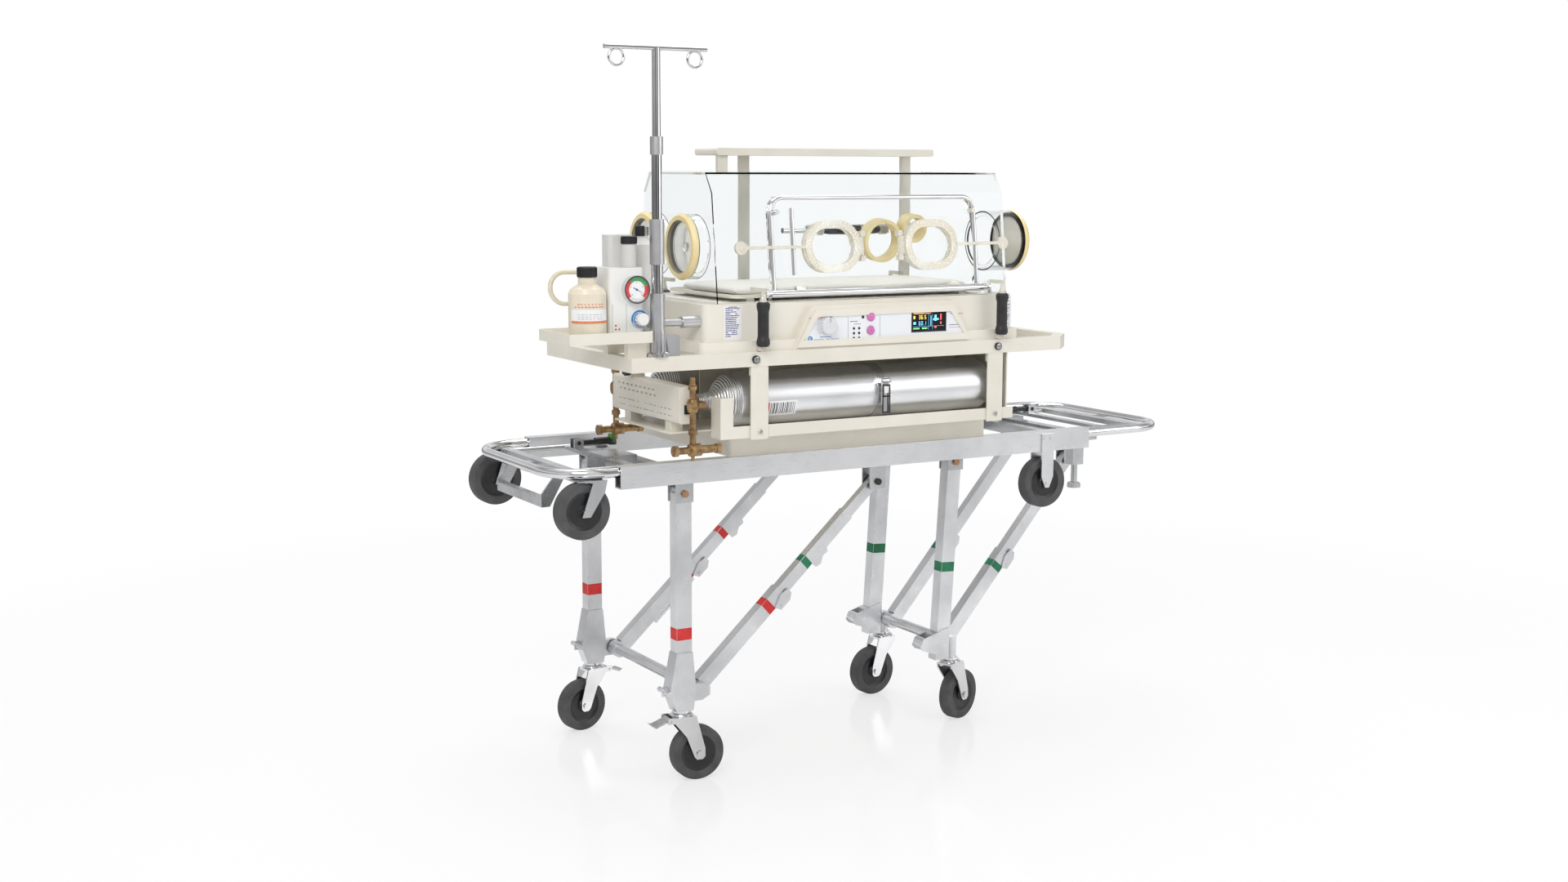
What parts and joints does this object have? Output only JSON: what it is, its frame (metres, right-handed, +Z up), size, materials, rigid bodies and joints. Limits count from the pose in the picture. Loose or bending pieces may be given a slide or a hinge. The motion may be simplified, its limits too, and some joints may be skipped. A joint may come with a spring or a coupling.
{
  "type": "infant transport incubator on folding trolley",
  "caption": "Infant transport incubator with a clear hood on a folding wheeled trolley, with gas cylinders, control panel, drip pole and suction unit.",
  "frame": {"origin": "on the floor under the middle of the whole object", "axes": "+X along the trolley towards its handle end, +Y towards the back, away from the control panel, +Z up"},
  "size_m": [1.73, 0.625, 1.633],
  "materials": {
    "aluminium": "satin",
    "black_plastic": "satin",
    "black_rubber": "satin",
    "brass": "worn",
    "bright_steel": "polished",
    "clear_plastic": "clear",
    "gas_metal": "satin",
    "hose": "satin",
    "ivory_paint": "satin",
    "ivory_plastic": "satin",
    "jar_plastic": "satin",
    "knob_white": "satin",
    "mattress_cover": "smooth",
    "panel_white": "satin",
    "pink_button": "satin",
    "port_plastic": "satin",
    "pump_white": "satin",
    "steel": "brushed",
    "tyre": "matt"
  },
  "bodies": {
    "frame": {"base_shell": "ivory_plastic", "carry_grips": "black_rubber", "control_panel": "panel_white", "cross_frame": "steel", "cylinder_cradle": "ivory_paint", "cylinder_straps": "steel", "cylinder_valves": "brass", "end_bumpers": "bright_steel", "end_ports": "port_plastic", "floor_lock_foot": "steel", "gas_cylinder_far": "gas_metal", "gas_cylinder_near": "gas_metal", "gas_manifold": "ivory_paint", "hood_shell": "clear_plastic", "iv_pole_lower": "bright_steel", "leg_hangers": "aluminium", "loading_bracket_left": "bright_steel", "loading_bracket_right": "bright_steel", "lower_base": "ivory_paint", "side_rails": "aluminium", "suction_bottle": "jar_plastic", "suction_hose": "hose", "suction_pump": "pump_white", "suction_tray": "ivory_paint", "top_shelf": "ivory_paint", "tray_ring": "ivory_paint"},
    "caster_left_near": {"caster_fork_left_near": "bright_steel"},
    "wheel_left_near": {"caster_wheel_left_near": "tyre"},
    "pedal_near": {"brake_pedal_near": "steel"},
    "caster_left_far": {"caster_fork_left_far": "bright_steel"},
    "wheel_left_far": {"caster_wheel_left_far": "tyre"},
    "pedal_far": {"brake_pedal_far": "steel"},
    "caster_right_near": {"caster_fork_right_near": "bright_steel"},
    "wheel_right_near": {"caster_wheel_right_near": "tyre"},
    "caster_right_far": {"caster_fork_right_far": "bright_steel"},
    "wheel_right_far": {"caster_wheel_right_far": "tyre"},
    "loading_left_near": {"loading_wheel_left_near": "tyre"},
    "loading_left_far": {"loading_wheel_left_far": "tyre"},
    "loading_right": {"loading_wheel_right": "tyre"},
    "upper_key": {"upper_button": "pink_button"},
    "lower_key": {"lower_button": "pink_button"},
    "left_legs": {"left_leg_frame": "aluminium"},
    "left_brace_low": {"left_brace_outer": "aluminium"},
    "left_brace_mid": {"left_brace_middle": "aluminium"},
    "left_brace_high": {"left_brace_inner": "aluminium"},
    "right_legs": {"right_leg_frame": "aluminium"},
    "right_brace_low": {"right_brace_outer": "aluminium"},
    "right_brace_high": {"right_brace_inner": "aluminium"},
    "lever_left": {"release_lever_left": "black_plastic"},
    "lever_right": {"release_lever_right": "black_plastic"},
    "pole_upper": {"iv_pole_upper": "bright_steel"},
    "door": {"access_door": "clear_plastic"},
    "port_left": {"port_door_left": "port_plastic"},
    "port_right": {"port_door_right": "port_plastic"},
    "deck": {"mattress_tray": "ivory_plastic", "mattress": "mattress_cover"},
    "panel_knob": {"control_knob": "knob_white"},
    "regulator": {"regulator_knob": "knob_white"},
    "gas_knob": {"manifold_knob": "black_plastic"},
    "buckle": {"strap_buckle": "steel"}
  },
  "joints": [
    {"name": "left_leg_fold", "type": "hinge", "parent": "frame", "child": "left_legs", "pos_m": [-0.555, 0.0375, 0.663], "axis": [0, -1, 0], "range_deg": [0, 42]},
    {"name": "left_brace_swing", "type": "hinge", "parent": "left_legs", "child": "left_brace_low", "pos_m": [-0.502, 0.0375, 0.2], "axis": [0, -1, 0], "range_deg": [-27.48, 0]},
    {"name": "left_brace_middle_slide", "type": "slide", "parent": "left_brace_low", "child": "left_brace_mid", "axis": [0.737, 0, 0.6759], "range_m": [-0.2405, 0]},
    {"name": "left_brace_inner_slide", "type": "slide", "parent": "left_brace_mid", "child": "left_brace_high", "axis": [0.737, 0, 0.6759], "range_m": [-0.07207, 0]},
    {"name": "right_leg_fold", "type": "hinge", "parent": "frame", "child": "right_legs", "pos_m": [0.24, 0.0375, 0.663], "axis": [0, -1, 0], "range_deg": [0, 35]},
    {"name": "right_brace_swing", "type": "hinge", "parent": "right_legs", "child": "right_brace_low", "pos_m": [0.251, 0.0375, 0.2], "axis": [0, -1, 0], "range_deg": [-12.79, 0]},
    {"name": "right_brace_slide", "type": "slide", "parent": "right_brace_low", "child": "right_brace_high", "axis": [0.6529, 0, 0.7574], "range_m": [-0.21302, 0]},
    {"name": "caster_swivel_left_near", "type": "hinge", "parent": "left_legs", "child": "caster_left_near", "pos_m": [-0.555, -0.2025, 0.165], "axis": [0, 0, 1], "continuous": true},
    {"name": "caster_roll_left_near", "type": "hinge", "parent": "caster_left_near", "child": "wheel_left_near", "pos_m": [-0.51914, -0.20564, 0.0625], "axis": [0.0872, 0.9962, 0], "continuous": true},
    {"name": "brake_press_near", "type": "hinge", "parent": "caster_left_near", "child": "pedal_near", "pos_m": [-0.58887, -0.19954, 0.145], "axis": [-0.0872, -0.9962, 0], "range_deg": [0, 16]},
    {"name": "caster_swivel_left_far", "type": "hinge", "parent": "left_legs", "child": "caster_left_far", "pos_m": [-0.555, 0.2775, 0.165], "axis": [0, 0, 1], "continuous": true},
    {"name": "caster_roll_left_far", "type": "hinge", "parent": "caster_left_far", "child": "wheel_left_far", "pos_m": [-0.59045, 0.27125, 0.0625], "axis": [0.1736, -0.9848, 0], "continuous": true},
    {"name": "brake_press_far", "type": "hinge", "parent": "caster_left_far", "child": "pedal_far", "pos_m": [-0.52152, 0.2834, 0.145], "axis": [-0.1736, 0.9848, 0], "range_deg": [0, 16]},
    {"name": "caster_swivel_right_near", "type": "hinge", "parent": "right_legs", "child": "caster_right_near", "pos_m": [0.247, -0.1175, 0.165], "axis": [0, 0, 1], "continuous": true},
    {"name": "caster_roll_right_near", "type": "hinge", "parent": "caster_right_near", "child": "wheel_right_near", "pos_m": [0.28083, -0.10519, 0.0625], "axis": [-0.342, 0.9397, 0], "continuous": true},
    {"name": "caster_swivel_right_far", "type": "hinge", "parent": "right_legs", "child": "caster_right_far", "pos_m": [0.247, 0.1925, 0.165], "axis": [0, 0, 1], "continuous": true},
    {"name": "caster_roll_right_far", "type": "hinge", "parent": "caster_right_far", "child": "wheel_right_far", "pos_m": [0.21114, 0.18936, 0.0625], "axis": [0.0872, -0.9962, 0], "continuous": true},
    {"name": "loading_roll_left_near", "type": "hinge", "parent": "frame", "child": "loading_left_near", "pos_m": [-0.8, -0.2125, 0.645], "axis": [0, 1, 0], "continuous": true},
    {"name": "loading_roll_left_far", "type": "hinge", "parent": "frame", "child": "loading_left_far", "pos_m": [-0.8, 0.2875, 0.645], "axis": [0, 1, 0], "continuous": true},
    {"name": "loading_roll_right", "type": "hinge", "parent": "frame", "child": "loading_right", "pos_m": [0.448, -0.2125, 0.608], "axis": [0, 1, 0], "continuous": true},
    {"name": "release_left", "type": "hinge", "parent": "frame", "child": "lever_left", "pos_m": [-0.64, 0.1675, 0.734], "axis": [0, -1, 0], "range_deg": [0, 18]},
    {"name": "release_right", "type": "hinge", "parent": "frame", "child": "lever_right", "pos_m": [0.7, 0.1675, 0.734], "axis": [0, 1, 0], "range_deg": [0, 18]},
    {"name": "pole_raise", "type": "slide", "parent": "frame", "child": "pole_upper", "axis": [0, 0, 1], "range_m": [-0.13, 0.04]},
    {"name": "door_drop", "type": "hinge", "parent": "frame", "child": "door", "pos_m": [-0.068, -0.26159, 1.1013], "axis": [1, 0, 0], "range_deg": [0, 95]},
    {"name": "port_open_left", "type": "hinge", "parent": "door", "child": "port_left", "pos_m": [-0.11, -0.24553, 1.20316], "axis": [0, 0.1077, 0.9942], "range_deg": [0, 90]},
    {"name": "port_open_right", "type": "hinge", "parent": "door", "child": "port_right", "pos_m": [-0.007, -0.24553, 1.20316], "axis": [0, -0.1077, -0.9942], "range_deg": [0, 90]},
    {"name": "deck_slide", "type": "slide", "parent": "frame", "child": "deck", "axis": [0, -1, 0], "range_m": [0, 0.02]},
    {"name": "panel_knob_turn", "type": "hinge", "parent": "frame", "child": "panel_knob", "pos_m": [-0.225, -0.2895, 1.028], "axis": [0, -1, 0], "range_deg": [-150, 150]},
    {"name": "upper_button_press", "type": "slide", "parent": "frame", "child": "upper_key", "axis": [0, 1, 0], "range_m": [0, 0.002], "stiffness_N_per_m": 300, "springref_m": -0.001},
    {"name": "lower_button_press", "type": "slide", "parent": "frame", "child": "lower_key", "axis": [0, 1, 0], "range_m": [0, 0.002], "stiffness_N_per_m": 300, "springref_m": -0.001},
    {"name": "regulator_turn", "type": "hinge", "parent": "frame", "child": "regulator", "pos_m": [-0.68, -0.268, 1.058], "axis": [0, -1, 0], "range_deg": [0, 300]},
    {"name": "gas_knob_turn", "type": "hinge", "parent": "frame", "child": "gas_knob", "pos_m": [-0.595, -0.012, 0.923], "axis": [-1, 0, 0], "range_deg": [-170, 170]},
    {"name": "buckle_open", "type": "hinge", "parent": "frame", "child": "buckle", "pos_m": [-0.062, -0.276, 0.8953], "axis": [-1, 0, 0], "range_deg": [0, 100]}
  ],
  "couplings": [
    {"joint": "left_brace_swing", "follows": "left_leg_fold", "ratio": -0.65202},
    {"joint": "left_brace_middle_slide", "follows": "left_leg_fold", "m_per_rad": -0.3274},
    {"joint": "left_brace_inner_slide", "follows": "left_leg_fold", "m_per_rad": -0.097633},
    {"joint": "right_brace_swing", "follows": "right_leg_fold", "ratio": -0.36255},
    {"joint": "right_brace_slide", "follows": "right_leg_fold", "m_per_rad": -0.34789}
  ]
}
